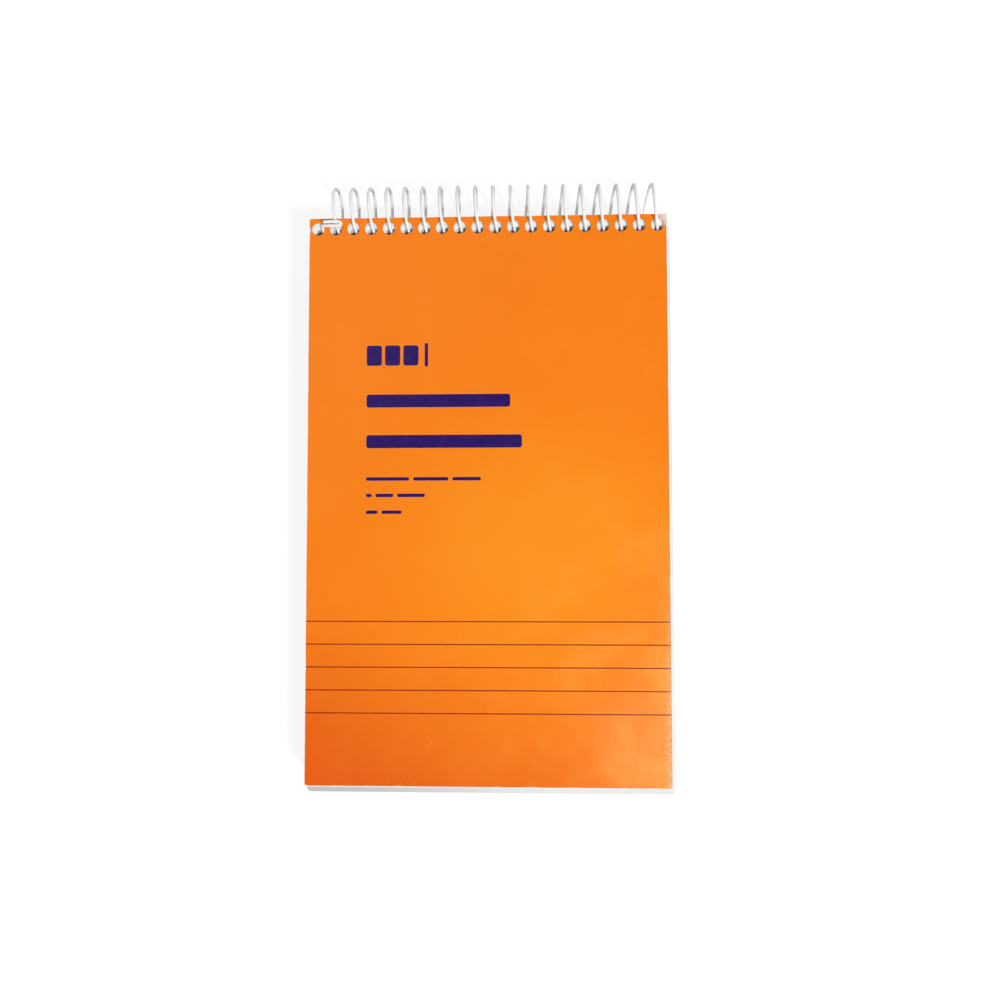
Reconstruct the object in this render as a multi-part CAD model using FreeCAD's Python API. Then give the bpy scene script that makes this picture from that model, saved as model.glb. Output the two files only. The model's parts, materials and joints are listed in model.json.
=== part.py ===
import FreeCAD
import Part
import math
import os

from FreeCAD import Vector

# Reporter notebook bound along its top edge with one spiral wire.
# Millimetres. X runs along the coil, +Y points to the coil, +Z is up through the front cover.
# The origin is under the middle of the closed notebook, level with the lowest point of the coil.

# Sheets and covers
sheet_width = 127.0
sheet_length = 200.0
sheet_thickness = 0.1
sheet_count = 150
cover_thickness = 0.4
cover_gap = 0.05            # air between a cover and the nearest sheet
corner_radius = 1.0

# Wire and holes
hole_pitch = 6.35
hole_to_edge = 3.85         # hole centre to the bound edge of a sheet or cover
wire_diameter = 1.1
cover_hole_reach = 6.93     # coil axis to the centre line of the cover holes, level
hole_play = 0.1             # air round the wire in a cover hole at both ends of the swing
wire_end_wrap = 25.0        # degrees of wire past the outer face of each cover

# Motion and lie
cover_swing = 178.0         # degrees that each cover turns about the coil
page_slide = 1.3            # how far the middle sheets have slid away from the coil
page_level_count = 11       # heights at which the bend of the stack is drawn

# Worked out from the sizes above
hole_count = math.floor(sheet_width / hole_pitch + 0.001)
stack_height = sheet_count * sheet_thickness
cover_level = stack_height / 2 + cover_gap + cover_thickness / 2
coil_radius = math.hypot(cover_level, cover_hole_reach)
wire_radius = wire_diameter / 2
side_play = hole_pitch * cover_swing / 720
axis_y = (sheet_length + page_slide - hole_to_edge - wire_radius) / 2
axis_z = coil_radius + wire_radius


def hole_radius():
    """Radius that clears the slanted wire when it stands side_play off the hole's centre."""
    slant = math.asin(cover_level / coil_radius)
    half_length = wire_radius / math.cos(slant)
    travel = cover_thickness / 2 * math.tan(slant)
    reaches = []
    for degrees in range(91):
        turn = math.radians(degrees)
        across = side_play + wire_radius * math.cos(turn)
        along = travel + half_length * math.sin(turn)
        reaches.append(math.hypot(across, along))
    return max(reaches) + hole_play


def hole_centre(level):
    """Middle of the row of holes in a sheet that lies level above or below the coil axis."""
    wire_shift = -hole_pitch * math.asin(level / coil_radius) / math.tau
    lean = -side_play * level / cover_level
    slide = page_slide * (1 - (level / cover_level) ** 2)
    reach = math.sqrt(coil_radius ** 2 - level ** 2)
    return Vector(wire_shift + lean, axis_y - reach - slide, axis_z + level)


def hole_centres(level):
    """Centres of all the holes of one sheet, from left to right."""
    middle = hole_centre(level)
    first = -hole_pitch * (hole_count - 1) / 2
    return [middle + Vector(first + index * hole_pitch, 0, 0) for index in range(hole_count)]


def sheet_outline(level):
    """Rounded rectangle of one sheet at its place in the stack."""
    middle = hole_centre(level)
    left = middle.x - sheet_width / 2
    right = middle.x + sheet_width / 2
    back = middle.y + hole_to_edge
    front = back - sheet_length
    corners = [
        (left, front, 225),
        (right, front, 315),
        (right, back, 45),
        (left, back, 135),
    ]
    points = []
    for x, y, facing in corners:
        toward_x = -1 if x == right else 1
        toward_y = -1 if y == back else 1
        centre = Vector(x + toward_x * corner_radius, y + toward_y * corner_radius, middle.z)
        for turn in (facing - 45, facing, facing + 45):
            angle = math.radians(turn)
            points.append(centre + Vector(math.cos(angle), math.sin(angle), 0) * corner_radius)
    edges = []
    for index in range(0, len(points), 3):
        start, bend, end = points[index:index + 3]
        following = points[(index + 3) % len(points)]
        edges.append(Part.Arc(start, bend, end).toShape())
        edges.append(Part.LineSegment(end, following).toShape())
    return Part.Wire(edges)


def cover(level):
    """Flat card with its row of holes, centred on one level."""
    drop = Vector(0, 0, -cover_thickness / 2)
    rise = Vector(0, 0, cover_thickness)
    outline = sheet_outline(level)
    outline.translate(drop)
    card = Part.Face(outline).extrude(rise)
    radius = hole_radius()
    holes = [
        Part.makeCylinder(radius, 3 * cover_thickness, centre + drop * 3, Vector(0, 0, 1))
        for centre in hole_centres(level)
    ]
    return card.cut(holes).Solids[0]


def front_cover():
    """Cover over the first sheet."""
    return cover(cover_level)


def back_cover():
    """Cover under the last sheet."""
    return cover(-cover_level)


def page_block():
    """All the sheets as one solid, whose holes follow the wire through the stack."""
    steps = page_level_count - 1
    levels = [stack_height * (index / steps - 0.5) for index in range(page_level_count)]
    block = Part.makeLoft([sheet_outline(level) for level in levels], True, False)
    radius = hole_radius()
    upright = Vector(0, 0, 1)
    cutters = []
    for number in range(hole_count):
        rings = [
            Part.Wire(Part.makeCircle(radius, hole_centres(level)[number], upright))
            for level in levels
        ]
        cutters.append(Part.makeLoft(rings, True, False))
    return block.cut(cutters).Solids[0]


def spiral_coil():
    """One wire that runs down through each hole and round the back of the stack to the next."""
    inside = math.degrees(math.asin(cover_level / coil_radius))
    start_turn = 180 - inside - wire_end_wrap
    swept = 360 * (hole_count - 1) + 2 * (inside + wire_end_wrap)
    length = hole_pitch * swept / 360
    path = Part.makeHelix(hole_pitch, length, coil_radius)
    climb = math.atan2(hole_pitch, math.tau * coil_radius)
    heading = Vector(0, math.cos(climb), math.sin(climb))
    section = Part.Wire(Part.makeCircle(wire_radius, Vector(coil_radius, 0, 0), heading))
    wire = Part.Wire(path.Edges).makePipeShell([section], True, True)
    ends = [path.Vertexes[0].Point, path.Vertexes[-1].Point]
    wire = wire.fuse([Part.makeSphere(wire_radius, end) for end in ends])
    wire.rotate(Vector(0, 0, 0), Vector(0, 0, 1), start_turn)
    wire.rotate(Vector(0, 0, 0), Vector(1, 1, 1), 120)
    wire.translate(Vector(-length / 2, axis_y, axis_z))
    return wire.Solids[0]


pieces = {
    "front_cover": front_cover,
    "page_block": page_block,
    "back_cover": back_cover,
    "spiral_coil": spiral_coil,
}

os.makedirs("parts", exist_ok=True)
for node, build in pieces.items():
    shape = build()
    shape.exportStep("parts/" + node + ".step")
    print(node, shape.ShapeType, shape.isValid(), round(shape.Volume, 3), shape.BoundBox)
print("coil radius", round(coil_radius, 3), "hole diameter", round(2 * hole_radius(), 3))
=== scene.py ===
"""Looks of a reporter notebook: a glossy orange card cover over ruled sheets on one white spiral wire."""

import functools
import json
import math

import bpy
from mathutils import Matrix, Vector


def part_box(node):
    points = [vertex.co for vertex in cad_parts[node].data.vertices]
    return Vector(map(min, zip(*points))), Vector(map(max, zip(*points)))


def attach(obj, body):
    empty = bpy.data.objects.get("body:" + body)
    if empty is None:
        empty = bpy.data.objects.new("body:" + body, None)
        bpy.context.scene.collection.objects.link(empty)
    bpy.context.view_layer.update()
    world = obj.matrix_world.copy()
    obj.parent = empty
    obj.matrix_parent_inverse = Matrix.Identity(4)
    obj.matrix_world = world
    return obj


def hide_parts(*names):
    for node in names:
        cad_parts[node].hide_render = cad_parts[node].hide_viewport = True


bl_info = {
    "name": "Reporter notebook",
    "version": (1, 0, 0),
    "blender": (4, 5, 0),
    "location": "3D View > Sidebar > Notebook",
    "description": "Builds a top-bound notebook with a spiral wire, its sheets, covers and stage",
    "category": "Add Mesh",
}

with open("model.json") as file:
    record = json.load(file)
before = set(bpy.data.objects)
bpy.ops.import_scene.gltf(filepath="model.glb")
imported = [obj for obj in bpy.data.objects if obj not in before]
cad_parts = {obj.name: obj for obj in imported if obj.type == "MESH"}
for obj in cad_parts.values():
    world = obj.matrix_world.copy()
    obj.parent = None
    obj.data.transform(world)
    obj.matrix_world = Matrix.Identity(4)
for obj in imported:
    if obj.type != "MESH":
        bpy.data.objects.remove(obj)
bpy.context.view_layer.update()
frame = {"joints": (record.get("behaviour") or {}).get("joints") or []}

MM = 0.001
FRONT_LOW, FRONT_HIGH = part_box("front_cover")
BACK_LOW, BACK_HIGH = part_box("back_cover")
PAGES_LOW, PAGES_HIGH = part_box("page_block")
COIL_LOW, COIL_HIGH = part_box("spiral_coil")
COIL_AXIS = Vector(frame["joints"][0]["pos_m"])

CARD_WIDTH = FRONT_HIGH.x - FRONT_LOW.x
CARD_LENGTH = FRONT_HIGH.y - FRONT_LOW.y
CARD_THICKNESS = FRONT_HIGH.z - FRONT_LOW.z
CARD_LEVEL = (FRONT_LOW.z + FRONT_HIGH.z) / 2 - COIL_AXIS.z
STACK_HEIGHT = PAGES_HIGH.z - PAGES_LOW.z
COIL_OUTER_RADIUS = (COIL_HIGH.z - COIL_LOW.z) / 2
FRONT_ORIGIN = Vector(((FRONT_LOW.x + FRONT_HIGH.x) / 2, FRONT_HIGH.y, FRONT_HIGH.z))
BACK_ORIGIN = Vector(((BACK_LOW.x + BACK_HIGH.x) / 2, BACK_HIGH.y, BACK_LOW.z))


# Settings that a user may change

def length_setting(name, description, millimetres):
    """Length that a user may change."""
    return bpy.props.FloatProperty(
        name=name, description=description, default=millimetres * MM, unit="LENGTH", precision=5)


def colour_setting(name, description, default):
    """Colour that a user may change."""
    return bpy.props.FloatVectorProperty(
        name=name, description=description, default=default, subtype="COLOR", min=0, max=1)


def level_setting(name, description, default):
    """Amount of light that a user may change."""
    return bpy.props.FloatProperty(name=name, description=description, default=default, min=0)


class BindingSettings(bpy.types.PropertyGroup):
    """Sizes that the holes, the sheets and the wire share."""

    hole_pitch: length_setting("Hole pitch", "Distance from one hole to the next", 6.35)
    hole_to_edge: length_setting("Hole to edge", "From the holes' centre line to the bound edge", 3.85)
    hole_diameter: length_setting("Hole diameter", "Width of each punched hole", 4.494)
    corner_radius: length_setting("Corner radius", "Rounding of the sheets' and covers' corners", 0.5)
    wire_diameter: length_setting("Wire diameter", "Thickness of the coated wire", 1.1)
    wire_colour: colour_setting("Wire colour", "Plastic coating of the wire", (0.93, 0.93, 0.92))
    slack_first: length_setting(
        "Slack, first loop", "How far the second hole's loop leans to the left", 1.20)
    slack_last: length_setting("Slack, last loop", "How far the last hole's loop leans to the left", 2.05)
    flattening: length_setting("Flattening", "How far the free side of each loop is pressed in", 0.30)


class CoverSettings(bpy.types.PropertyGroup):
    """Print and finish of the covers, with the front cover's painted sheen and shade."""

    card_colour: colour_setting("Card colour", "Printed ground of the front cover", (0.965, 0.222, 0.004))
    # Painted sheen: the front cover's ground is painted paler around its middle.
    painted_sheen_colour: colour_setting("Painted sheen colour", "Ground painted paler in the middle as a broad sheen", (0.975, 0.290, 0.006))
    # Painted shade: the front cover's ground is painted darker toward its lower left.
    painted_shade_colour: colour_setting("Painted shade colour", "Ground painted darker toward the lower left as shade", (0.80, 0.112, 0.003))
    scuff_colour: colour_setting(
        "Scuff colour", "Ground where handling has dulled the print", (1.0, 0.385, 0.055))
    ink_colour: colour_setting("Ink colour", "Dark ink of the printed blocks", (0.010, 0.001, 0.120))
    line_colour: colour_setting(
        "Line colour", "Ink of the thin lines, which take up some of the ground", (0.22, 0.010, 0.001))
    board_colour: colour_setting(
        "Board colour", "Unprinted card, seen at its edges and inside", (0.80, 0.77, 0.71))
    back_colour: colour_setting("Back colour", "Pale grey card of the back cover", (0.80, 0.79, 0.765))
    line_count: bpy.props.IntProperty(
        name="Line count", description="Ruled lines on the front cover", default=5, min=0)
    line_spacing: length_setting("Line spacing", "From one ruled line to the next", 7.92)
    line_start: length_setting("Lowest line", "From the bound edge to the lowest ruled line", 175.03)
    lift: length_setting("Corner lift", "How far the free corners of the front cover stand up", 0.15)
    back_shift: length_setting("Back shift", "Sideways place of the back cover in its play", -0.8)


class SheetSettings(bpy.types.PropertyGroup):
    """The stack of ruled sheets."""

    sheet_count: bpy.props.IntProperty(
        name="Sheet count", description="Sheets in the stack", default=150, min=1)
    paper_colour: colour_setting("Paper colour", "White writing paper", (0.93, 0.93, 0.93))
    rule_colour: colour_setting("Rule colour", "Faint printed writing lines", (0.42, 0.52, 0.66))
    rule_spacing: length_setting("Rule spacing", "From one writing line to the next", 8.0)
    shuffle: length_setting("Shuffle", "How far single sheets stand out of the stack", 0.07)
    drift: length_setting("Drift", "How far whole runs of sheets stand out of the stack", 0.22)
    looseness: length_setting("Looseness", "Free height between the stack and the front cover", 0.35)
    shift: length_setting("Shift", "Sideways place of the middle sheet", -0.85)
    lean: length_setting("Lean", "Sideways step of the top sheet from the middle one", -0.87)
    settle: length_setting("Settle", "How far the whole stack has slid away from the spine", 0.55)
    slide: length_setting("Slide", "How much further the top sheet has slid than the middle one", 0.30)
    seed: bpy.props.IntProperty(name="Seed", description="Choice of the uneven sheets", default=7)


class StageSettings(bpy.types.PropertyGroup):
    """Floor, lamps and camera."""

    floor_colour: colour_setting(
        "Floor colour", "Plain pale table top, as it lights the notebook", (0.75, 0.75, 0.75))
    floor_seen: colour_setting(
        "Floor seen", "Share of its light that the camera sees, for the shadow's depth",
        (0.26, 0.26, 0.26))
    floor_glow: level_setting(
        "Floor glow", "White that the camera sees on the floor besides its light", 0.80)
    world_level: level_setting("World level", "Even light from all round", 0.38)
    key_level: level_setting("Key level", "Light of the main lamp on a white sheet", 0.50)
    fill_level: level_setting("Fill level", "Light of the wide lamp on a white sheet", 0.10)
    shine_level: level_setting("Shine level", "Light of the lamp that the lower right mirrors", 0.035)
    lens: bpy.props.FloatProperty(
        name="Lens", description="Focal length on a 36 mm frame", default=26.885, min=1, unit="CAMERA")


SETTINGS = {
    "notebook_binding": BindingSettings,
    "notebook_cover": CoverSettings,
    "notebook_sheets": SheetSettings,
    "notebook_stage": StageSettings,
}


# Small helpers for node trees

FLOAT = "NodeSocketFloat"
VECTOR = "NodeSocketVector"
GEOMETRY = "NodeSocketGeometry"
MATERIAL = "NodeSocketMaterial"
SOCKET_OF_DEFAULT = {int: "NodeSocketInt", float: FLOAT, tuple: VECTOR}


class Graph:
    """Adds nodes to one tree and links them."""

    def __init__(self, tree):
        self.tree = tree

    def node(self, kind, values=None, **settings):
        """New node with its settings, then its inputs by name or number."""
        made = self.tree.nodes.new(kind)
        for name, value in settings.items():
            setattr(made, name, value)
        for key, value in (values or {}).items():
            self.feed(made.inputs[key], value)
        return made

    def shape(self, kind, values=None, **settings):
        """Geometry that one new geometry node puts out."""
        return self.node("GeometryNode" + kind, values, **settings).outputs[0]

    def joined(self, *parts):
        """Geometry of all the parts together."""
        join = self.node("GeometryNodeJoinGeometry")
        for part in parts:
            self.feed(join.inputs[0], part)
        return join.outputs[0]

    def feed(self, socket, value):
        """Link a socket, or set its value."""
        if isinstance(value, bpy.types.NodeSocket):
            self.tree.links.new(value, socket)
        else:
            socket.default_value = value

    def maths(self, operation, *values, clamp=False):
        """Result of one Math node."""
        made = self.node("ShaderNodeMath", operation=operation, use_clamp=clamp)
        for socket, value in zip(made.inputs, values):
            self.feed(socket, value)
        return made.outputs[0]

    def times(self, *values, clamp=False):
        """Product of all the values."""
        return functools.reduce(functools.partial(self.maths, "MULTIPLY", clamp=clamp), values)

    def plus(self, *values, clamp=False):
        """Sum of all the values."""
        return functools.reduce(functools.partial(self.maths, "ADD", clamp=clamp), values)

    def minus(self, value, taken, clamp=False):
        """Value less what is taken from it."""
        return self.maths("SUBTRACT", value, taken, clamp=clamp)

    def times_plus(self, value, factor, added):
        """Value times a factor, and something added."""
        return self.maths("MULTIPLY_ADD", value, factor, added)

    def vector(self, operation, *values, scale=None):
        """Result of one Vector Math node."""
        made = self.node("ShaderNodeVectorMath", operation=operation)
        for socket, value in zip(made.inputs, values):
            self.feed(socket, value)
        if scale is not None:
            self.feed(made.inputs["Scale"], scale)
        return made.outputs["Value" if operation == "LENGTH" else "Vector"]

    def axes(self, vector):
        """X, Y and Z of a vector."""
        return self.node("ShaderNodeSeparateXYZ", {0: vector}).outputs

    def join_axes(self, x=0.0, y=0.0, z=0.0):
        """Vector from three numbers."""
        return self.node("ShaderNodeCombineXYZ", {0: x, 1: y, 2: z}).outputs[0]

    def ramp(self, value, low, high, out_low=0.0, out_high=1.0, smooth=True):
        """Value taken from one range to another and held at its ends."""
        kind = "SMOOTHSTEP" if smooth else "LINEAR"
        inputs = {0: value, 1: low, 2: high, 3: out_low, 4: out_high}
        return self.node("ShaderNodeMapRange", inputs, interpolation_type=kind).outputs[0]

    def noise(self, place, scale, detail=3.0, roughness=0.5, distortion=0.0):
        """Cloudy pattern from 0 to 1."""
        inputs = {"Vector": place, "Scale": scale, "Detail": detail,
                  "Roughness": roughness, "Distortion": distortion}
        return self.node("ShaderNodeTexNoise", inputs).outputs[0]

    def blend(self, share, first, second, kind="MIX"):
        """Two colours mixed."""
        made = self.node("ShaderNodeMix", data_type="RGBA", blend_type=kind)
        for index, value in ((0, share), (6, first), (7, second)):
            self.feed(made.inputs[index], value)
        return made.outputs[2]

    def group(self, name, values):
        """Outputs of a shared node group placed in this tree."""
        kind = self.tree.bl_idname.replace("Tree", "Group")
        made = self.node(kind, node_tree=bpy.data.node_groups[name])
        for key, value in values.items():
            self.feed(made.inputs[key], value)
        return made.outputs


def new_group(name, inputs, outputs, kind="ShaderNodeTree"):
    """Node group and its inner sockets; an input comes with its default or its type of socket."""
    tree = bpy.data.node_groups.new(name, kind)
    for label, value in inputs.items():
        socket_type = SOCKET_OF_DEFAULT.get(type(value), value)
        socket = tree.interface.new_socket(label, in_out="INPUT", socket_type=socket_type)
        if socket_type != value:
            socket.default_value = value
    for label, socket_type in outputs.items():
        tree.interface.new_socket(label, in_out="OUTPUT", socket_type=socket_type)
    graph = Graph(tree)
    return graph, graph.node("NodeGroupInput").outputs, graph.node("NodeGroupOutput").inputs


def rgba(colour, share=1.0):
    """Colour with full alpha, or a darker share of it."""
    return (*(part * share for part in colour), 1.0)


# Effects that several materials share, with lengths in millimetres

NOUGHT = (0, 0, 0)
ONLY_ACROSS = (1, 1, 0)


def make_place_group():
    """Place on a card in millimetres, from the middle of its bound edge."""
    graph, given, made = new_group(
        "Card place", {"Origin": NOUGHT}, {"Place": VECTOR, "Facing": FLOAT})
    coordinates = graph.node("ShaderNodeTexCoord").outputs
    offset = graph.vector("SUBTRACT", coordinates["Object"], given["Origin"])
    graph.feed(made["Place"], graph.vector("SCALE", offset, scale=1 / MM))
    graph.feed(made["Facing"], graph.axes(coordinates["Normal"])[2])


def make_block_group():
    """Mask of one printed block with rounded corners."""
    graph, given, made = new_group(
        "Printed block",
        {"Place": NOUGHT, "Centre": NOUGHT, "Half Size": (1, 1, 0), "Corner": 0.4, "Softness": 0.06},
        {"Mask": FLOAT})
    offset = graph.vector("ABSOLUTE", graph.vector("SUBTRACT", given["Place"], given["Centre"]))
    corner = graph.join_axes(given["Corner"], given["Corner"], 0.0)
    core = graph.vector("SUBTRACT", given["Half Size"], corner)
    past = graph.vector("MAXIMUM", graph.vector("SUBTRACT", offset, core), NOUGHT)
    flat = graph.vector("MULTIPLY", past, ONLY_ACROSS)
    distance = graph.minus(graph.vector("LENGTH", flat), given["Corner"])
    low = graph.times(given["Softness"], -1.0)
    graph.feed(made["Mask"], graph.ramp(distance, low, given["Softness"], 1.0, 0.0))


def make_rule_group():
    """Mask of evenly spaced lines across a sheet."""
    graph, given, made = new_group(
        "Ruled lines",
        {"Place": NOUGHT, "Lowest": -190.0, "Spacing": 8.0, "Count": 5.0, "Width": 0.3, "Softness": 0.06},
        {"Mask": FLOAT})
    height = graph.minus(graph.axes(given["Place"])[1], given["Lowest"])
    row = graph.maths("DIVIDE", height, given["Spacing"])
    last = graph.minus(given["Count"], 1.0)
    nearest = graph.maths("MINIMUM", graph.maths("MAXIMUM", graph.maths("ROUND", row), 0.0), last)
    distance = graph.times(graph.maths("ABSOLUTE", graph.minus(row, nearest)), given["Spacing"])
    half = graph.times(given["Width"], 0.5)
    graph.feed(made["Mask"], graph.ramp(distance, half, graph.plus(half, given["Softness"]), 1.0, 0.0))


def make_wear_group():
    """Mask of a card's rubbed outline, widest at its corners, and of one bruise."""
    graph, given, made = new_group(
        "Edge wear",
        {"Place": NOUGHT, "Width": 127.0, "Length": 200.0, "Edge Band": 0.11, "Corner Band": 1.0,
         "Bruise": (63.0, -1.2, 0.0), "Bruise Size": 3.6},
        {"Worn": FLOAT})
    x, y, _ = graph.axes(given["Place"])
    half_length = graph.times(given["Length"], 0.5)
    to_side = graph.minus(graph.times(given["Width"], 0.5), graph.maths("ABSOLUTE", x))
    to_end = graph.minus(half_length, graph.maths("ABSOLUTE", graph.plus(y, half_length)))
    ragged = graph.noise(given["Place"], 0.9, detail=4.0, roughness=0.65)
    rare = graph.ramp(graph.noise(given["Place"], 0.11, detail=1.0), 0.48, 0.66, 0.25, 1.6)
    band = graph.times(given["Edge Band"], rare, ragged)
    nearest = graph.maths("MINIMUM", to_side, to_end)
    edge = graph.ramp(nearest, graph.times(band, 1.1), graph.times(band, 2.6), 1.0, 0.0)
    corner_band = graph.times(given["Corner Band"], ragged)
    corner = graph.ramp(
        graph.plus(to_side, to_end), corner_band, graph.times(corner_band, 2.2), 1.0, 0.0)
    outline = graph.maths("MAXIMUM", edge, corner)
    offset = graph.vector("SUBTRACT", given["Place"], given["Bruise"])
    torn = graph.noise(given["Place"], 1.3, detail=5.0, roughness=0.75)
    reach = graph.vector("LENGTH", graph.vector("MULTIPLY", offset, ONLY_ACROSS))
    away = graph.maths("DIVIDE", reach, given["Bruise Size"])
    bruise = graph.ramp(graph.minus(graph.times_plus(torn, 4.0, -1.1), away), 0.0, 0.45)
    graph.feed(made["Worn"], graph.maths("MAXIMUM", outline, bruise))


def make_fibre_group():
    """Tone and height of paper fibres."""
    graph, given, made = new_group(
        "Paper fibre", {"Place": NOUGHT, "Fineness": 1.0}, {"Tone": FLOAT, "Height": FLOAT})
    stretched = graph.vector("MULTIPLY", given["Place"], (1.0, 0.35, 1.0))
    fine = graph.noise(stretched, graph.times(given["Fineness"], 4.0), detail=5.0)
    cloud = graph.noise(given["Place"], graph.times(given["Fineness"], 0.35))
    graph.feed(made["Tone"], graph.times_plus(fine, 0.4, graph.times(cloud, 0.6)))
    graph.feed(made["Height"], fine)


def make_handling_group():
    """Slow waves in a card, the faint scuffs of handling, its grain, and the rubbed right side."""
    graph, given, made = new_group(
        "Handling", {"Place": NOUGHT},
        {"Waves": FLOAT, "Scuffs": FLOAT, "Grain": FLOAT, "Rubbed": FLOAT})
    place = given["Place"]
    x, y, _ = graph.axes(place)
    slow = graph.noise(place, 0.028, detail=2.0, distortion=0.6)
    crumpled = graph.noise(place, 0.16, detail=5.0, roughness=0.6, distortion=1.2)
    used = graph.times(graph.ramp(x, -20.0, 60.0), graph.ramp(y, -60.0, -190.0))
    graph.feed(made["Waves"], graph.times_plus(crumpled, graph.times_plus(used, 0.30, 0.04), slow))
    cloud = graph.ramp(graph.noise(place, 0.055, detail=5.0, roughness=0.62), 0.42, 0.72)
    cloud = graph.times(cloud, graph.times_plus(used, 0.42, 0.06))
    speck = graph.ramp(graph.noise(place, 2.1, detail=4.0, roughness=0.7), 0.36, 0.70)
    rim = graph.times(graph.ramp(x, 60.6, 63.6), graph.ramp(y, -110.0, -190.0))
    graph.feed(made["Rubbed"], graph.times(speck, rim))
    side = graph.times(graph.ramp(x, 38.0, 65.0), graph.ramp(y, -95.0, -195.0))
    near_rim = graph.times_plus(graph.ramp(x, 56.0, 62.0), 0.70, 0.70)
    speck = graph.times(speck, side, near_rim)
    turned = graph.node("ShaderNodeVectorRotate", {"Vector": place, "Angle": 0.45},
                        rotation_type="Z_AXIS").outputs[0]
    drawn = graph.vector("MULTIPLY", turned, (1.0, 0.10, 1.0))
    streak = graph.ramp(graph.noise(drawn, 0.9, roughness=0.6), 0.63, 0.74)
    broken = graph.ramp(graph.noise(place, 0.045, detail=1.0), 0.50, 0.62)
    graph.feed(made["Scuffs"], graph.plus(cloud, speck, graph.times(streak, broken, 0.28), clamp=True))
    graph.feed(made["Grain"], graph.noise(place, 6.0, detail=2.0))


# Materials, with places in millimetres from the middle of the bound edge

def new_material(name):
    """Empty material and its graph."""
    material = bpy.data.materials.new(name)
    material.use_nodes = True
    material.node_tree.nodes.clear()
    return material, Graph(material.node_tree)


def add_surface(graph, values, height=None, distance=0.0):
    """Surface shader with its inputs, and its relief, whose height is in units of distance."""
    if height is not None:
        bump = graph.node("ShaderNodeBump", {"Height": height, "Distance": distance, "Strength": 1.0})
        values = {**values, "Normal": bump.outputs[0]}
    shader = graph.node("ShaderNodeBsdfPrincipled", values)
    graph.node("ShaderNodeOutputMaterial", {"Surface": shader.outputs[0]})


# The front cover's print and wear, with its painted sheen and shade
PRINT_MARGIN = -42.6
PRINT_ROWS = (
    # height on the cover, height of the blocks, gap between them, and their lengths
    (-49.7, 7.2, 1.10, (5.4, 5.4, 5.4)),
    (-65.9, 4.6, 0.00, (50.8,)),
    (-80.3, 4.6, 0.00, (54.9,)),
    (-93.5, 1.2, 1.45, (15.2, 12.4, 10.0)),
    (-99.3, 1.2, 1.35, (2.0, 6.3, 9.8)),
    (-105.2, 1.2, 1.40, (4.1, 7.1)),
)
SIDE_BLOCK = ((-21.4, -49.5, 0.0), (0.6, 4.2, 0.0), 0.5)
LARGEST_CORNER = 0.9
COVER_LINE_WIDTH = 0.33
# Middle and spread of the painted sheen
SHEEN_MIDDLE = (22.0, -118.0, 0.0)
SHEEN_SCALE = (1 / 75, 1 / 62, 0)
# Where the painted shade toward the lower left starts and ends
SHADE_RANGE = (-138.0, -206.0)
SIDE_NICK = {"Edge Band": 0.0, "Corner Band": 0.0, "Bruise": (-63.7, -4.3, 0.0), "Bruise Size": 1.3}
CARD_OUTLINE = {"Width": CARD_WIDTH / MM, "Length": CARD_LENGTH / MM}


def printed_blocks():
    """Centre, half size and corner of each printed block."""
    blocks = [SIDE_BLOCK]
    for y, height, gap, lengths in PRINT_ROWS:
        left = PRINT_MARGIN
        for length in lengths:
            half = (length / 2, height / 2, 0.0)
            blocks.append(((left + length / 2, y, 0.0), half, min(LARGEST_CORNER, height * 0.45)))
            left += length + gap
    return blocks


def printed_ground(graph, place, handling, cover):
    """Colour of the card's print before the ink: painted sheen in the middle, painted shade toward the
    lower left, scuffs.
    """
    x, y, _ = graph.axes(place)
    offset = graph.vector("SUBTRACT", place, SHEEN_MIDDLE)
    reach = graph.vector("LENGTH", graph.vector("MULTIPLY", offset, SHEEN_SCALE))
    # Painted sheen: the ground is painted paler around the middle, as a broad reflection of the light.
    ground = graph.blend(graph.ramp(reach, 1.0, 0.1), rgba(cover.card_colour), rgba(cover.painted_sheen_colour))
    # Painted shade: the ground is painted darker toward the lower left, which mirrors less light.
    toward_corner = graph.times_plus(x, 0.42, graph.times(y, 0.9))
    cloud = graph.times_plus(graph.noise(place, 0.02, detail=2.0), 0.3, -0.15)
    lower_left_shade = graph.plus(graph.ramp(toward_corner, *SHADE_RANGE), cloud, clamp=True)
    ground = graph.blend(lower_left_shade, ground, rgba(cover.painted_shade_colour))
    mottled = graph.ramp(handling["Grain"], 0.3, 0.7, 0.965, 1.02)
    ground = graph.blend(1.0, ground, mottled, "MULTIPLY")
    return graph.blend(handling["Scuffs"], ground, rgba(cover.scuff_colour))


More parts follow.
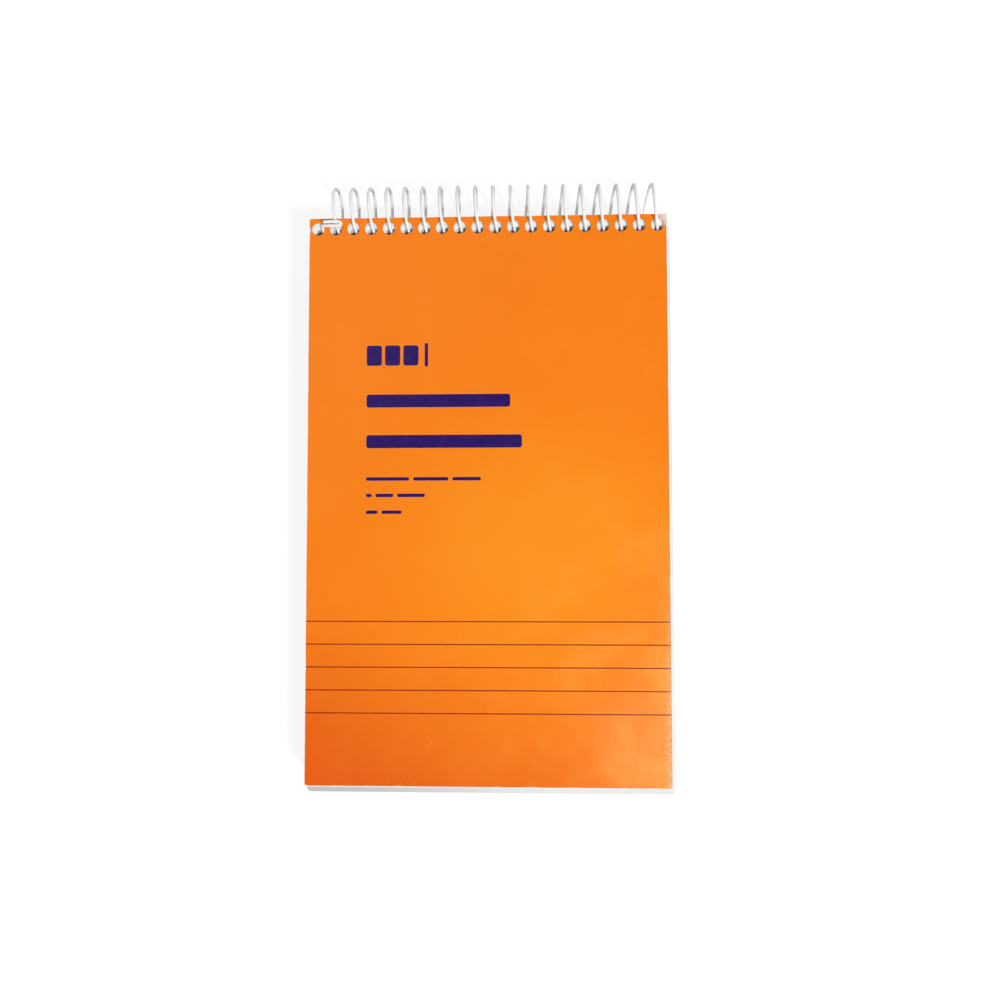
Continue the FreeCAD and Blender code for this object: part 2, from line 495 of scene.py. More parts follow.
def printed_card(cover):
    """Glossy printed card, worn to its white core at the edges, plain board on its other side."""
    material, graph = new_material("printed_card")
    place, facing = graph.group("Card place", {"Origin": FRONT_ORIGIN})
    handling = graph.group("Handling", {"Place": place})
    fibre = graph.group("Paper fibre", {"Place": place})
    ground = printed_ground(graph, place, handling, cover)
    ink = 0.0
    for centre, half, corner in printed_blocks():
        values = {"Place": place, "Centre": centre, "Half Size": half, "Corner": corner}
        ink = graph.maths("MAXIMUM", ink, graph.group("Printed block", values)["Mask"])
    ink = graph.times(ink, graph.ramp(fibre["Tone"], 0.2, 0.5, 0.92, 0.99))
    printed = graph.blend(ink, ground, rgba(cover.ink_colour))
    values = {"Place": place, "Lowest": -cover.line_start / MM, "Spacing": cover.line_spacing / MM,
              "Count": float(cover.line_count), "Width": COVER_LINE_WIDTH}
    lines = graph.times(graph.group("Ruled lines", values)["Mask"], 0.96)
    printed = graph.blend(lines, printed, rgba(cover.line_colour))
    values = {"Place": place, **CARD_OUTLINE}
    worn = graph.maths("MAXIMUM", graph.group("Edge wear", values)["Worn"],
                       graph.group("Edge wear", {**values, **SIDE_NICK})["Worn"])
    worn = graph.maths("MAXIMUM", worn, graph.times(handling["Rubbed"], 0.75))
    board = graph.blend(
        graph.ramp(fibre["Tone"], 0.3, 0.7), rgba(cover.board_colour), rgba(cover.board_colour, 0.92))
    top = graph.blend(graph.times(worn, 0.85), printed, board)
    is_top = graph.ramp(facing, 0.4, 0.6)
    glossy = graph.times(is_top, graph.minus(1.0, worn, clamp=True))
    matt = graph.ramp(glossy, 0.0, 1.0, 0.75, 0.42, smooth=False)
    relief = graph.times_plus(handling["Grain"], 0.010, handling["Waves"])
    add_surface(graph, {
        "Base Color": graph.blend(is_top, board, top),
        "Roughness": graph.times_plus(handling["Scuffs"], 0.15, matt),
        "Specular IOR Level": 0.10,
        "Coat Weight": graph.times(glossy, 0.20),
        "Coat Roughness": 0.16,
    }, graph.times_plus(fibre["Height"], 0.005, relief), 0.5 * MM)
    return material


def plain_board(cover):
    """Uncoated pale grey board with darker flecks, rubbed light along its outline."""
    material, graph = new_material("plain_board")
    place, _ = graph.group("Card place", {"Origin": BACK_ORIGIN})
    fibre = graph.group("Paper fibre", {"Place": place, "Fineness": 0.8})
    fleck = graph.ramp(graph.noise(place, 2.6, detail=4.0, roughness=0.7), 0.64, 0.72)
    dark = rgba(cover.back_colour, 0.72)
    tone = graph.blend(graph.ramp(fibre["Tone"], 0.35, 0.65, 0.0, 0.25), rgba(cover.back_colour), dark)
    tone = graph.blend(graph.times(fleck, 0.35), tone, dark)
    worn = graph.group("Edge wear", {"Place": place, **CARD_OUTLINE})["Worn"]
    light = rgba([min(1.0, share * 1.22) for share in cover.back_colour])
    add_surface(graph, {
        "Base Color": graph.blend(graph.times(worn, 0.6), tone, light),
        "Roughness": graph.ramp(fibre["Tone"], 0.3, 0.7, 0.72, 0.86),
    }, fibre["Height"], 0.02 * MM)
    return material


# The sheets' ruled lines, then where their tones and painted shade start and end, some with the amounts
# there
FIRST_RULE = 26.0
RULE_WIDTH = 0.18
RULE_MIDDLE, RULE_HALF_LENGTH = 0.7, 61.4
PALER_TO_SPINE = (-16.0, -4.0, 1.0, 1.3)
EDGE_SHADE_TONES = (0.38, 0.62, 0.42, 0.74)
SPINE_MARGIN = (0.7, 1.1)
# Where the painted shade in and around the holes lies, across and in depth
HOLES_NEAR, HOLES_FAR, HOLES_HALF_SPAN = -3.6, -14.0, 61.0
DEEP_FROM, DEEP_TO = (-1.5, -2.2), (-8.8, -7.8)
DEEP_MIDDLE, DEEP_HALF_SPAN = 1.0, 62.5
# Where the painted shade on the sheets' exposed ends lies, and how dark it is from right to left
END_SHADE_BAND = (-200.4, -200.9)
END_SHADE_ACROSS = (30.0, -60.0, 0.15, 0.42)


def spine_distance(graph, y, z, sheets, binding):
    """How far a place on a sheet is from that sheet's own bound edge."""
    axis = (COIL_AXIS - FRONT_ORIGIN) / MM
    rise = graph.minus(z, axis.z)
    reach = graph.maths("SQRT", graph.minus((coil_radius(binding) / MM) ** 2, graph.times(rise, rise)))
    edge = graph.minus(axis.y + (binding.hole_to_edge - sheets.settle) / MM, reach)
    return graph.minus(edge, y)


def writing_paper(sheets, binding):
    """White paper with faint ruled lines; each sheet's edge has its own tone and painted shade, with more
    painted shade in and around the holes and on the exposed ends.
    """
    material, graph = new_material("writing_paper")
    place, facing = graph.group("Card place", {"Origin": FRONT_ORIGIN})
    x, y, z = graph.axes(place)
    fibre = graph.group("Paper fibre", {"Place": place, "Fineness": 1.4})
    level = graph.maths("FLOOR", graph.maths("DIVIDE", z, STACK_HEIGHT / MM / sheets.sheet_count))
    own = graph.node("ShaderNodeTexWhiteNoise", {"W": level}, noise_dimensions="1D").outputs[0]
    run = graph.noise(graph.join_axes(0.0, 0.0, graph.times(level, 0.16)), 1.0, detail=2.0)
    # Painted shade between the sheets: each sheet's edge is painted darker, more in some runs of sheets
    # than others, with its own random tone; less of it toward the spine.
    edge_tone_and_shade = graph.times_plus(own, 0.10, graph.ramp(run, *EDGE_SHADE_TONES))
    edge_tone_and_shade = graph.times(edge_tone_and_shade, graph.ramp(y, *PALER_TO_SPINE), clamp=True)
    past_spine = graph.ramp(spine_distance(graph, y, z, sheets, binding), *SPINE_MARGIN)
    near_holes = graph.times(graph.maths("GREATER_THAN", y, HOLES_FAR), past_spine)
    in_span = graph.maths("LESS_THAN", graph.maths("ABSOLUTE", x), HOLES_HALF_SPAN)
    # Painted shade inside the holes: the paper's cut edges there are painted much darker.
    inside = graph.times(graph.maths("LESS_THAN", y, HOLES_NEAR), in_span, near_holes)
    edge_tone_and_shade = graph.times(edge_tone_and_shade, graph.times_plus(inside, -0.77, 1.0))
    # Painted shade around the holes: faces of the sheets a little below the top are painted darker near
    # the holes, which the covers' holes show.
    deep = graph.times(graph.ramp(z, *DEEP_FROM), graph.ramp(z, *DEEP_TO), near_holes,
                       graph.maths("COMPARE", x, DEEP_MIDDLE, DEEP_HALF_SPAN))
    # Painted shade on the sheets' ends that stand out past the cover, darker toward the left.
    end_shade = graph.times(graph.ramp(y, *END_SHADE_BAND), graph.ramp(x, *END_SHADE_ACROSS))
    face_tone_and_shade = graph.times(graph.ramp(fibre["Tone"], 0.3, 0.7, 0.975, 1.0),
                            graph.times_plus(deep, -0.75, 1.0), graph.minus(1.0, end_shade))
    is_face = graph.ramp(graph.maths("ABSOLUTE", facing), 0.4, 0.6)
    tone = graph.times_plus(is_face, graph.minus(face_tone_and_shade, edge_tone_and_shade), edge_tone_and_shade)
    white = graph.blend(1.0, rgba(sheets.paper_colour), tone, "MULTIPLY")
    spacing = sheets.rule_spacing / MM
    rows = math.floor((CARD_LENGTH / MM - FIRST_RULE) / spacing)
    values = {"Place": place, "Lowest": -FIRST_RULE - rows * spacing, "Spacing": spacing,
              "Count": rows + 1.0, "Width": RULE_WIDTH}
    within = graph.maths("COMPARE", x, RULE_MIDDLE, RULE_HALF_LENGTH)
    drawn = graph.times(graph.group("Ruled lines", values)["Mask"], within, is_face, 0.75)
    add_surface(graph, {
        "Base Color": graph.blend(drawn, white, rgba(sheets.rule_colour)),
        "Roughness": 0.82,
        "Specular IOR Level": 0.3,
    }, fibre["Height"], 0.012 * MM)
    return material


def coated_wire(binding):
    """White plastic coating, slightly uneven and a little soiled, with painted shade toward its outline.
    """
    material, graph = new_material("coated_wire")
    place, _ = graph.group("Card place", {"Origin": FRONT_ORIGIN})
    uneven = graph.noise(place, 1.1)
    soiled = graph.ramp(graph.noise(place, 0.35, detail=4.0, roughness=0.65), 0.55, 0.8)
    white = rgba(binding.wire_colour)
    tone = graph.blend(graph.times(soiled, 0.4), white, rgba(binding.wire_colour, 0.80))
    # Painted shade: the wire's colour is darker toward its outline, where it turns away.
    rim = graph.ramp(graph.node("ShaderNodeLayerWeight", {"Blend": 0.5}).outputs["Facing"], 0.45, 0.95)
    add_surface(graph, {
        "Base Color": graph.blend(rim, tone, rgba(binding.wire_colour, 0.42)),
        "Roughness": graph.ramp(uneven, 0.3, 0.7, 0.26, 0.42),
    }, uneven, 0.03 * MM)
    return material


# Geometry that repeats or follows a path

SHEET_INPUTS = {
    "Width": 0.127, "Length": 0.2, "Thickness": 0.0001, "Corner Radius": 0.001, "Hole Count": 20,
    "Hole Pitch": 0.00635, "Hole Radius": 0.002247, "Hole To Edge": 0.00385, "Hole Sides": 12,
}
CORNER_STEPS = 4
MERGE_DISTANCE = 1e-6
SLAB_MARGIN = 0.006


def make_punched_sheet_group():
    """One flat sheet with its row of holes; the holes' middle is at the origin."""
    graph, given, made = new_group(
        "Punched sheet", SHEET_INPUTS, {"Sheet": GEOMETRY}, "GeometryNodeTree")
    outline = graph.shape("CurvePrimitiveQuadrilateral", {
        "Width": given["Width"], "Height": given["Length"]})
    rounded = graph.shape("FilletCurve", {
        "Curve": outline, "Count": CORNER_STEPS, "Radius": given["Corner Radius"]}, mode="POLY")
    back = graph.times_plus(given["Length"], -0.5, given["Hole To Edge"])
    outline = graph.shape("Transform", {
        "Geometry": rounded, "Translation": graph.join_axes(0.0, back, 0.0)})
    first = graph.times(graph.minus(given["Hole Count"], 1.0), given["Hole Pitch"], -0.5)
    centres = graph.shape("MeshLine", {
        "Count": given["Hole Count"], "Start Location": graph.join_axes(first),
        "Offset": graph.join_axes(given["Hole Pitch"])})
    ring = graph.shape("CurvePrimitiveCircle", {
        "Resolution": given["Hole Sides"], "Radius": given["Hole Radius"]})
    rings = graph.shape("InstanceOnPoints", {"Points": centres, "Instance": ring})
    rings = graph.shape("RealizeInstances", {"Geometry": rings})
    filled = graph.shape("FillCurve", {"Curve": graph.joined(outline, rings)}, mode="TRIANGLES")
    raised = graph.shape("ExtrudeMesh", {
        "Mesh": filled, "Offset": graph.join_axes(0.0, 0.0, 1.0), "Offset Scale": given["Thickness"],
        "Individual": False}, mode="FACES")
    underside = graph.shape("FlipFaces", {"Mesh": filled})
    closed = graph.shape("MergeByDistance", {
        "Geometry": graph.joined(raised, underside), "Distance": MERGE_DISTANCE})
    graph.feed(made["Sheet"], closed)


def place_sheet(graph, given, **changes):
    """Punched sheet placed in another tree, with that tree's inputs."""
    values = {label: given[label] for label in SHEET_INPUTS}
    return graph.group("Punched sheet", {**values, **changes})["Sheet"]


def new_piece_tree(name, inputs):
    """Geometry tree of one piece; its first input is the modifier's own object."""
    inputs = {"Geometry": GEOMETRY, "Material": MATERIAL, **inputs}
    return new_group(name, inputs, {"Geometry": GEOMETRY}, "GeometryNodeTree")


def finish_tree(graph, geometry, given, made, smooth=False):
    """Last nodes of every piece's tree: plain geometry with its material."""
    real = graph.shape("RealizeInstances", {"Geometry": geometry})
    shaded = graph.shape("SetShadeSmooth", {"Geometry": real, "Shade Smooth": smooth})
    last = graph.shape("SetMaterial", {"Geometry": shaded, "Material": given["Material"]})
    graph.feed(made["Geometry"], last)


def make_stack_tree():
    """All the sheets, each laid where the wire carries it."""
    graph, given, made = new_piece_tree("Sheet stack", {
        **SHEET_INPUTS, "Sheet Count": 150, "Step": 0.0001, "Bottom Level": -0.0075,
        "Top Level": 0.0075, "Coil Radius": 0.0104, "Shift": -0.0008, "Lean": -0.0015,
        "Settle": 0.0004, "Slide": 0.0005, "Axis": NOUGHT, "Shuffle": 0.00007, "Drift": 0.0002,
        "Seed": 7})
    sheet = place_sheet(graph, given)
    points = graph.shape("MeshLine", {"Count": given["Sheet Count"], "Offset": NOUGHT})
    index = graph.node("GeometryNodeInputIndex").outputs[0]
    level = graph.times_plus(index, given["Step"], given["Bottom Level"])
    share = graph.maths("DIVIDE", level, given["Top Level"])
    x = graph.times_plus(share, given["Lean"], given["Shift"])
    radius_squared = graph.maths("POWER", given["Coil Radius"], 2.0)
    reach = graph.maths("SQRT", graph.minus(radius_squared, graph.maths("POWER", level, 2.0)))
    reach = graph.plus(reach, given["Settle"])
    upper = graph.maths("POWER", graph.maths("MAXIMUM", share, 0.0), 2.0)
    y = graph.times(graph.times_plus(given["Slide"], upper, reach), -1.0)
    random = graph.node("FunctionNodeRandomValue", {
        "Min": graph.vector("SCALE", (-1, -1, 0), scale=given["Shuffle"]),
        "Max": graph.vector("SCALE", (1, 1, 0), scale=given["Shuffle"]),
        "ID": index, "Seed": given["Seed"]}, data_type="FLOAT_VECTOR").outputs[0]
    along = graph.join_axes(graph.times(index, 0.13), graph.times(given["Seed"], 3.7))
    slow = graph.node("ShaderNodeTexNoise", {"Vector": along, "Scale": 1.0, "Detail": 1.0}).outputs[1]
    swing = graph.vector("MULTIPLY", graph.vector("SUBTRACT", slow, (0.5, 0.5, 0.5)), (2, 2, 0))
    uneven = graph.vector("ADD", random, graph.vector("SCALE", swing, scale=given["Drift"]))
    place = graph.vector("ADD", graph.join_axes(x, y, level), given["Axis"])
    placed = graph.shape("SetPosition", {
        "Geometry": points, "Position": graph.vector("ADD", place, uneven)})
    sheets = graph.shape("InstanceOnPoints", {"Points": placed, "Instance": sheet})
    finish_tree(graph, sheets, given, made)


def make_card_tree():
    """A cover: a fine slab cut to the punched outline, then let rise at its free corners."""
    graph, given, made = new_piece_tree("Cover card", {
        **SHEET_INPUTS, "Origin": NOUGHT, "Lift": 0.0007, "Waves": 0.00018, "Columns": 54, "Rows": 84})
    cutter = place_sheet(graph, given, Thickness=graph.times(given["Thickness"], 5.0))
    sink = graph.times(given["Thickness"], -2.5)
    lowered = graph.shape("Transform", {
        "Geometry": cutter, "Translation": graph.join_axes(0.0, 0.0, sink)})
    size = graph.join_axes(graph.plus(given["Width"], SLAB_MARGIN),
                           graph.plus(given["Length"], SLAB_MARGIN), given["Thickness"])
    slab = graph.shape("MeshCube", {
        "Size": size, "Vertices X": given["Columns"], "Vertices Y": given["Rows"], "Vertices Z": 2})
    middle = graph.times_plus(given["Length"], -0.5, given["Hole To Edge"])
    slab = graph.shape("Transform", {
        "Geometry": slab, "Translation": graph.join_axes(0.0, middle, 0.0)})
    cut = graph.node("GeometryNodeMeshBoolean", operation="INTERSECT", solver="EXACT")
    graph.feed(cut.inputs["Mesh 2"], slab)
    graph.feed(cut.inputs["Mesh 2"], lowered)
    position = graph.node("GeometryNodeInputPosition").outputs[0]
    x, y, _ = graph.axes(position)
    along = graph.maths("DIVIDE", graph.minus(given["Hole To Edge"], y), given["Length"])
    across = graph.maths("DIVIDE", graph.maths("ABSOLUTE", x), graph.times(given["Width"], 0.5))
    free = graph.maths("POWER", graph.maths("MAXIMUM", along, 0.0), 3.0)
    outer = graph.times_plus(graph.maths("POWER", across, 2.0), 0.7, 0.3)
    corner_rise = graph.times(free, outer, given["Lift"])
    cloud = graph.node("ShaderNodeTexNoise", {"Vector": position, "Scale": 16.0, "Detail": 1.0}).outputs[0]
    wave = graph.times(cloud, graph.ramp(along, 0.04, 0.3), given["Waves"])
    drop = graph.minus(graph.plus(corner_rise, wave), graph.times(given["Thickness"], 0.5))
    bent = graph.shape("SetPosition", {
        "Geometry": cut.outputs["Mesh"], "Offset": graph.join_axes(0.0, 0.0, drop)})
    seat = graph.vector("SUBTRACT", given["Origin"], graph.join_axes(0.0, given["Hole To Edge"], 0.0))
    seated = graph.shape("Transform", {"Geometry": bent, "Translation": seat})
    finish_tree(graph, seated, given, made)


def make_wire_tree():
    """Round wire along the path that the modifier's own object draws."""
    graph, given, made = new_piece_tree("Wire along path", {"Wire Radius": 0.00055, "Sides": 14})
    ring = graph.shape("CurvePrimitiveCircle", {
        "Resolution": given["Sides"], "Radius": given["Wire Radius"]})
    tube = graph.shape("CurveToMesh", {
        "Curve": given["Geometry"], "Profile Curve": ring, "Fill Caps": True})
    finish_tree(graph, tube, given, made, smooth=True)


def add_object(name, data):
    """New object in the scene."""
    made = bpy.data.objects.new(name, data)
    bpy.context.scene.collection.objects.link(made)
    return made


def grow(data, tree, values):
    """Plain mesh from a mesh or curve and a geometry tree with its named inputs."""
    source = add_object(data.name, data)
    modifier = source.modifiers.new(tree, "NODES")
    modifier.node_group = bpy.data.node_groups[tree]
    for item in modifier.node_group.interface.items_tree:
        if item.in_out == "INPUT" and item.name in values:
            modifier[item.identifier] = values[item.name]
    depsgraph = bpy.context.evaluated_depsgraph_get()
    mesh = bpy.data.meshes.new_from_object(source.evaluated_get(depsgraph), depsgraph=depsgraph)
    source.modifiers.remove(modifier)
    bpy.data.objects.remove(source)
    if not mesh.polygons:
        raise RuntimeError(tree + " made no faces")
    return mesh


def add_piece(name, mesh, body, node):
    """Shown piece that stands for a node of the frame and moves with its body."""
    mesh.name = name
    piece = add_object(name, mesh)
    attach(piece, body)
    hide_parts(node)


def hole_count(binding):
    """Holes that fit across the sheet."""
    return math.floor(CARD_WIDTH / binding.hole_pitch + 0.01)


def coil_radius(binding):
    """From the coil's axis to the centre of the wire."""
    return COIL_OUTER_RADIUS - binding.wire_diameter / 2


def common_sheet_values(binding):
    """Sizes that the sheets and covers share."""
    return {
        "Width": CARD_WIDTH,
        "Length": CARD_LENGTH,
        "Corner Radius": binding.corner_radius,
        "Hole Count": hole_count(binding),
        "Hole Pitch": binding.hole_pitch,
        "Hole Radius": binding.hole_diameter / 2,
        "Hole To Edge": binding.hole_to_edge,
    }


# Path of the wire, with turns in degrees about the coil's axis

WIRE_STEP = 6.0
SLACK_TURN, SLACK_HALF = 92, 137
PRESSED_TURN, PRESSED_HALF = 4, 50
HOOK_END = 4
HOOK_STEPS = 6
HOOK_POINTS = (
    # sideways from the first hole's wire in millimetres, turn, and rise off the coil in millimetres
    (0.90, 117.3, 0.95),
    (2.60, 116.8, 1.08),
    (4.80, 116.6, 1.16),
    (6.20, 116.9, 1.20),
    (6.90, 118.4, 1.22),
    (7.00, 120.1, 1.24),
    (6.90, 121.8, 1.22),
    (6.20, 123.3, 1.20),
    (4.80, 123.6, 1.16),
    (2.60, 123.7, 0.95),
    (1.30, 123.9, 0.60),
    (0.50, 124.4, 0.28),
    (0.10, 126.2, 0.05),
)


def smooth_line(points, steps):
    """Points of a smooth curve through the given ones."""
    line = []
    for index in range(1, len(points) - 2):
        before, start, end, after = points[index - 1:index + 3]
        for step in range(steps):
            share = step / steps
            line.append(0.5 * (
                2 * start + (end - before) * share
                + (2 * before - 5 * start + 4 * end - after) * share ** 2
                + (3 * start - before - 3 * end + after) * share ** 3))
    return line


def bump(turn, middle, half_width):
    """One in the middle, falling smoothly to nought on both sides."""
    away = abs(turn - middle) / half_width
    return math.cos(math.pi / 2 * away) ** 2 if away < 1 else 0.0


def coil_point(binding, turn, sideways=0.0, rise=0.0):
    """Wire's centre after so many degrees about the coil axis; 180 is inside the first hole."""
    count = hole_count(binding)
    loop = round((turn - SLACK_TURN) / 360)
    local = turn - 360 * loop
    if loop >= 1:
        share = (loop - 1) / max(1, count - 2)
        slack = binding.slack_first + (binding.slack_last - binding.slack_first) * share
        sideways -= slack * bump(local, SLACK_TURN, SLACK_HALF)
        rise -= binding.flattening * bump(local, PRESSED_TURN, PRESSED_HALF)
    radius = coil_radius(binding) + rise
    first = -binding.hole_pitch * (count - 1) / 2
    x = first + binding.hole_pitch * (turn - 180) / 360 + sideways
    angle = math.radians(turn)
    return COIL_AXIS + Vector((x, radius * math.cos(angle), radius * math.sin(angle)))


def wire_path(binding):
    """Points of the whole wire: a hook, the coil, and the same hook at the other end."""
    front = 180 - math.degrees(math.asin(CARD_LEVEL / coil_radius(binding)))
    start = front + HOOK_END
    drift = binding.hole_pitch / 360
    hook = [coil_point(binding, turn, sideways * MM + (front - turn) * drift, rise * MM)
            for sideways, turn, rise in HOOK_POINTS]
    lead_in = [coil_point(binding, start + step * WIRE_STEP) for step in range(3)]
    first_end = smooth_line([hook[0] * 2 - hook[1]] + hook + lead_in, HOOK_STEPS)
    end = 360 * hole_count(binding) - start
    count = math.ceil((end - start - WIRE_STEP) / WIRE_STEP)
    coil = [coil_point(binding, start + WIRE_STEP + (end - start - 2 * WIRE_STEP) * index / count)
            for index in range(count + 1)]
    return first_end + coil + [turned_about(point) for point in reversed(first_end)]


def turned_about(point):
    """Point turned half round the coil's middle, which takes one end of the wire to the other."""
    offset = point - COIL_AXIS
    return COIL_AXIS + Vector((-offset.x, offset.y, -offset.z))


def wire_curve(binding):
    """Curve that holds the path of the wire."""
    points = wire_path(binding)
    curve = bpy.data.curves.new("wire_path", "CURVE")
    curve.dimensions = "3D"
    spline = curve.splines.new("POLY")
    spline.points.add(len(points) - 1)
    for target, point in zip(spline.points, points):
        target.co = (*point, 1.0)
    return curve


# Operators

EFFECTS = (
    make_place_group, make_block_group, make_rule_group, make_wear_group, make_fibre_group,
    make_handling_group, make_punched_sheet_group, make_stack_tree, make_card_tree, make_wire_tree,
)
COVER_HOLE_SIDES = 32
SHEET_HOLE_SIDES = 12
PAPER_SHARE = 0.97


def grow_cover(binding, finish):
    """Mesh of one cover with its material, place and rise."""
    values = {**common_sheet_values(binding), "Thickness": CARD_THICKNESS,
              "Hole Sides": COVER_HOLE_SIDES, **finish}
    return grow(bpy.data.meshes.new("cover_source"), "Cover card", values)


class NOTEBOOK_OT_effects(bpy.types.Operator):
    """Make the shared shader groups and geometry trees"""

    bl_idname = "notebook.effects"
    bl_label = "Shared effects"

    def execute(self, context):
        for make in EFFECTS:
            make()
        return {"FINISHED"}


class NOTEBOOK_OT_front_cover(bpy.types.Operator):
    """Make the printed front cover"""

    bl_idname = "notebook.front_cover"
    bl_label = "Front cover"

    def execute(self, context):
        cover = context.scene.notebook_cover
        mesh = grow_cover(context.scene.notebook_binding, {
            "Material": printed_card(cover), "Origin": FRONT_ORIGIN, "Lift": cover.lift})
        add_piece("printed_front_cover", mesh, "front_cover", "front_cover")
        return {"FINISHED"}


class NOTEBOOK_OT_back_cover(bpy.types.Operator):
    """Make the plain back cover"""

    bl_idname = "notebook.back_cover"
    bl_label = "Back cover"

    def execute(self, context):
        cover = context.scene.notebook_cover
        origin = BACK_ORIGIN + Vector((cover.back_shift, 0.0, CARD_THICKNESS))
        mesh = grow_cover(context.scene.notebook_binding, {
            "Material": plain_board(cover), "Origin": origin, "Lift": 0.0, "Waves": 0.0})
        add_piece("plain_back_cover", mesh, "back_cover", "back_cover")
        return {"FINISHED"}


class NOTEBOOK_OT_sheets(bpy.types.Operator):
    """Make the stack of ruled sheets"""

    bl_idname = "notebook.sheets"
    bl_label = "Sheets"

    def execute(self, context):
        binding = context.scene.notebook_binding
        sheets = context.scene.notebook_sheets
        height = STACK_HEIGHT - sheets.looseness
        step = height / sheets.sheet_count
        values = common_sheet_values(binding)
        values.update({
            "Material": writing_paper(sheets, binding),
            "Thickness": step * PAPER_SHARE,
            "Hole Sides": SHEET_HOLE_SIDES,
            "Sheet Count": sheets.sheet_count,
            "Step": step,
            "Bottom Level": PAGES_LOW.z - COIL_AXIS.z,
            "Top Level": PAGES_LOW.z - COIL_AXIS.z + height,
            "Coil Radius": coil_radius(binding),
            "Axis": COIL_AXIS,
        })
        for name in ("shift", "lean", "settle", "slide", "shuffle", "drift", "seed"):
            values[name.capitalize()] = getattr(sheets, name)
        mesh = grow(bpy.data.meshes.new("stack_source"), "Sheet stack", values)
        add_piece("ruled_sheets", mesh, "book", "page_block")
        return {"FINISHED"}


class NOTEBOOK_OT_coil(bpy.types.Operator):
    """Make the spiral wire with its hooked ends"""

    bl_idname = "notebook.coil"
    bl_label = "Spiral wire"

    def execute(self, context):
        binding = context.scene.notebook_binding
        values = {"Material": coated_wire(binding), "Wire Radius": binding.wire_diameter / 2}
        mesh = grow(wire_curve(binding), "Wire along path", values)
        add_piece("coated_spiral_wire", mesh, "book", "spiral_coil")
        return {"FINISHED"}


CAMERA_OFFSET = Vector((12.86 * MM, -111.93 * MM, 260.95 * MM))
CAMERA_TURN = (0.0417, 0.0318, -0.0015)
SENSOR_WIDTH = 36.0
CLIP_RANGE = (0.01, 50.0)
LAMPS = (
    # name, place and size in metres, and the setting that holds its level
    ("key_lamp", Vector((0.78, -0.74, 1.20)), 0.20, "key_level"),
    ("fill_lamp", Vector((-0.70, 0.60, 1.20)), 1.20, "fill_level"),
    ("shine_lamp", Vector((0.27, -0.44, 1.25)), 0.22, "shine_level"),
)
LEAST_SLANT = 0.2
FLOOR_REACH = 4.0
FAR_GLOW = 0.16


def add_lamp(name, place, size, level):
    """Soft square lamp that faces the notebook and lights a white sheet to the given level."""
    data = bpy.data.lights.new(name, "AREA")
    data.shape = "SQUARE"
    data.size = size
    data.energy = level * math.pi ** 2 * place.length ** 2 / max(LEAST_SLANT, place.normalized().z)
    lamp = add_object(name, data)
    lamp.location = place
    lamp.rotation_euler = (-place).to_track_quat("-Z", "Y").to_euler()


def floor_material(stage):
    """Pale table top that the camera sees as white, with the notebook's shadow."""
    material, graph = new_material("pale_floor")
    path = graph.node("ShaderNodeLightPath").outputs
    colour = graph.blend(path["Is Camera Ray"], rgba(stage.floor_colour), rgba(stage.floor_seen))
    seen = graph.maths("MAXIMUM", path["Is Camera Ray"], path["Is Glossy Ray"])
    seen = graph.maths("MAXIMUM", seen, path["Is Transmission Ray"])
    away = graph.vector("LENGTH", graph.node("ShaderNodeTexCoord").outputs["Object"])
    glow = graph.plus(stage.floor_glow, graph.ramp(away, 0.5, 2.5, 0.0, FAR_GLOW))
    add_surface(graph, {
        "Base Color": colour,
        "Roughness": 0.9,
        "Specular IOR Level": 0.1,
        "Emission Color": (1, 1, 1, 1),
        "Emission Strength": graph.times(seen, glow),
    })
    return material


def stage_floor(stage):
    """Plain floor that touches the coil and the back cover's far edge."""
    near = Vector((0.0, COIL_AXIS.y, COIL_LOW.z))
    far = Vector((0.0, BACK_LOW.y, BACK_LOW.z))
    slope = (far.z - near.z) / (far.y - near.y)
    corners = [(-1, -1), (1, -1), (1, 1), (-1, 1)]
    points = [(x * FLOOR_REACH, y * FLOOR_REACH, near.z + slope * (y * FLOOR_REACH - near.y))
              for x, y in corners]
    mesh = bpy.data.meshes.new("stage_floor")
    mesh.from_pydata(points, [], [(0, 1, 2, 3)])
    mesh.materials.append(floor_material(stage))
    floor = add_object("stage_floor", mesh)


def stage_world(stage):
    """Even white light; plain white where the camera sees it."""
    world = bpy.data.worlds.new("pale_world")
    world.use_nodes = True
    world.node_tree.nodes.clear()
    graph = Graph(world.node_tree)
    path = graph.node("ShaderNodeLightPath").outputs
    seen = graph.maths("MAXIMUM", path["Is Camera Ray"], path["Is Transmission Ray"])
    strength = graph.ramp(seen, 0.0, 1.0, stage.world_level, 1.0, smooth=False)
    background = graph.node("ShaderNodeBackground", {"Color": (1, 1, 1, 1), "Strength": strength})
    graph.node("ShaderNodeOutputWorld", {"Surface": background.outputs[0]})
    bpy.context.scene.world = world


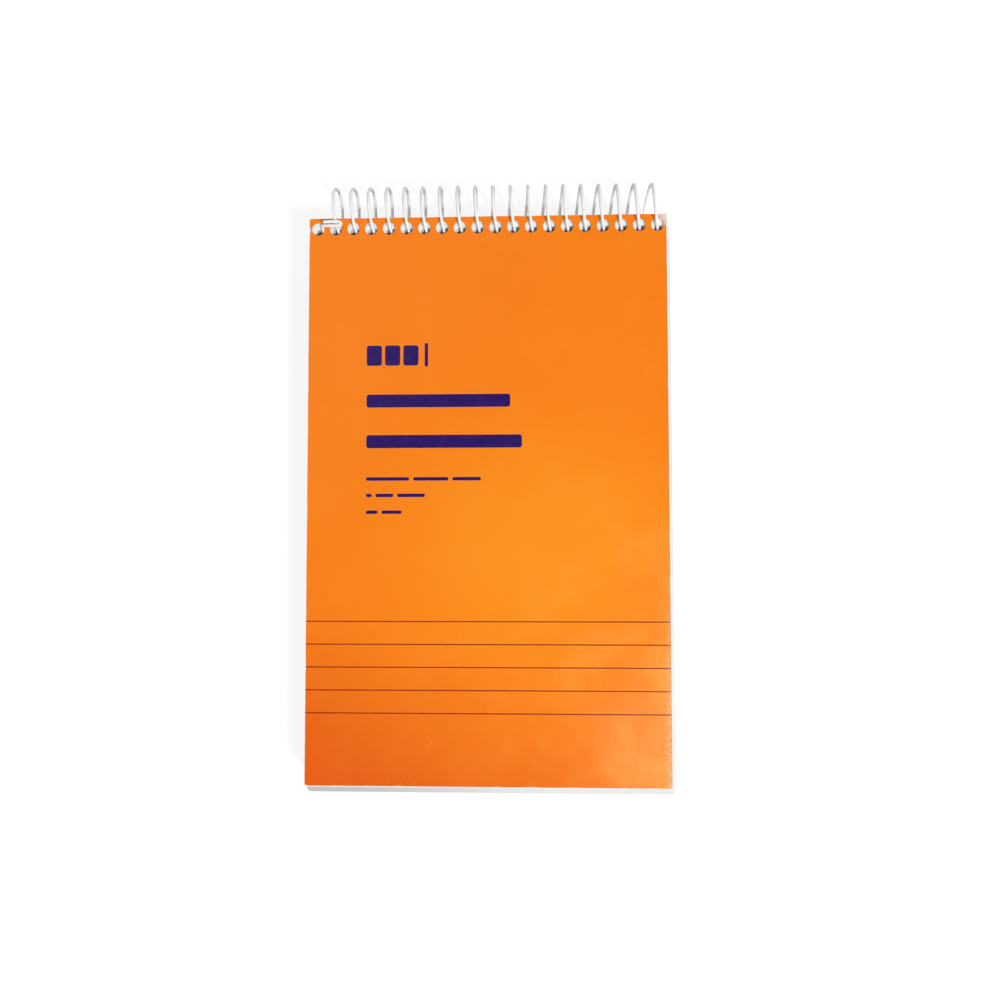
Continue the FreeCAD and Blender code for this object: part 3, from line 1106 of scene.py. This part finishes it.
class NOTEBOOK_OT_stage(bpy.types.Operator):
    """Add the floor, the lamps and the camera"""

    bl_idname = "notebook.stage"
    bl_label = "Stage"

    def execute(self, context):
        stage = context.scene.notebook_stage
        stage_floor(stage)
        stage_world(stage)
        for name, place, size, level in LAMPS:
            add_lamp(name, place, size, getattr(stage, level))
        data = bpy.data.cameras.new("photo_camera")
        data.sensor_width = SENSOR_WIDTH
        data.lens = stage.lens
        data.clip_start, data.clip_end = CLIP_RANGE
        camera = add_object("photo_camera", data)
        camera.location = FRONT_ORIGIN + CAMERA_OFFSET
        camera.rotation_euler = CAMERA_TURN
        context.scene.camera = camera
        context.scene.view_settings.view_transform = "Standard"
        return {"FINISHED"}


OPERATORS = (
    NOTEBOOK_OT_effects,
    NOTEBOOK_OT_front_cover,
    NOTEBOOK_OT_back_cover,
    NOTEBOOK_OT_sheets,
    NOTEBOOK_OT_coil,
    NOTEBOOK_OT_stage,
)


class NOTEBOOK_PT_build(bpy.types.Panel):
    """Sidebar panel with the steps of the notebook"""

    bl_label = "Notebook"
    bl_idname = "NOTEBOOK_PT_build"
    bl_space_type = "VIEW_3D"
    bl_region_type = "UI"
    bl_category = "Notebook"

    def draw(self, context):
        for operator in OPERATORS:
            self.layout.operator(operator.bl_idname)
        for name, kind in SETTINGS.items():
            box = self.layout.box()
            for setting in kind.__annotations__:
                box.prop(getattr(context.scene, name), setting)


def register():
    """Add the settings, operators and panel."""
    for name, kind in SETTINGS.items():
        bpy.utils.register_class(kind)
        setattr(bpy.types.Scene, name, bpy.props.PointerProperty(type=kind))
    for operator in OPERATORS:
        bpy.utils.register_class(operator)
    bpy.utils.register_class(NOTEBOOK_PT_build)


def unregister():
    """Take them away again."""
    bpy.utils.unregister_class(NOTEBOOK_PT_build)
    for operator in reversed(OPERATORS):
        bpy.utils.unregister_class(operator)
    for name, kind in SETTINGS.items():
        delattr(bpy.types.Scene, name)
        bpy.utils.unregister_class(kind)


def main():
    """Build everything in order."""
    register()
    bpy.ops.notebook.effects()
    bpy.ops.notebook.front_cover()
    bpy.ops.notebook.back_cover()
    bpy.ops.notebook.sheets()
    bpy.ops.notebook.coil()
    bpy.ops.notebook.stage()
    bpy.context.view_layer.update()


if __name__ == "__main__":
    main()
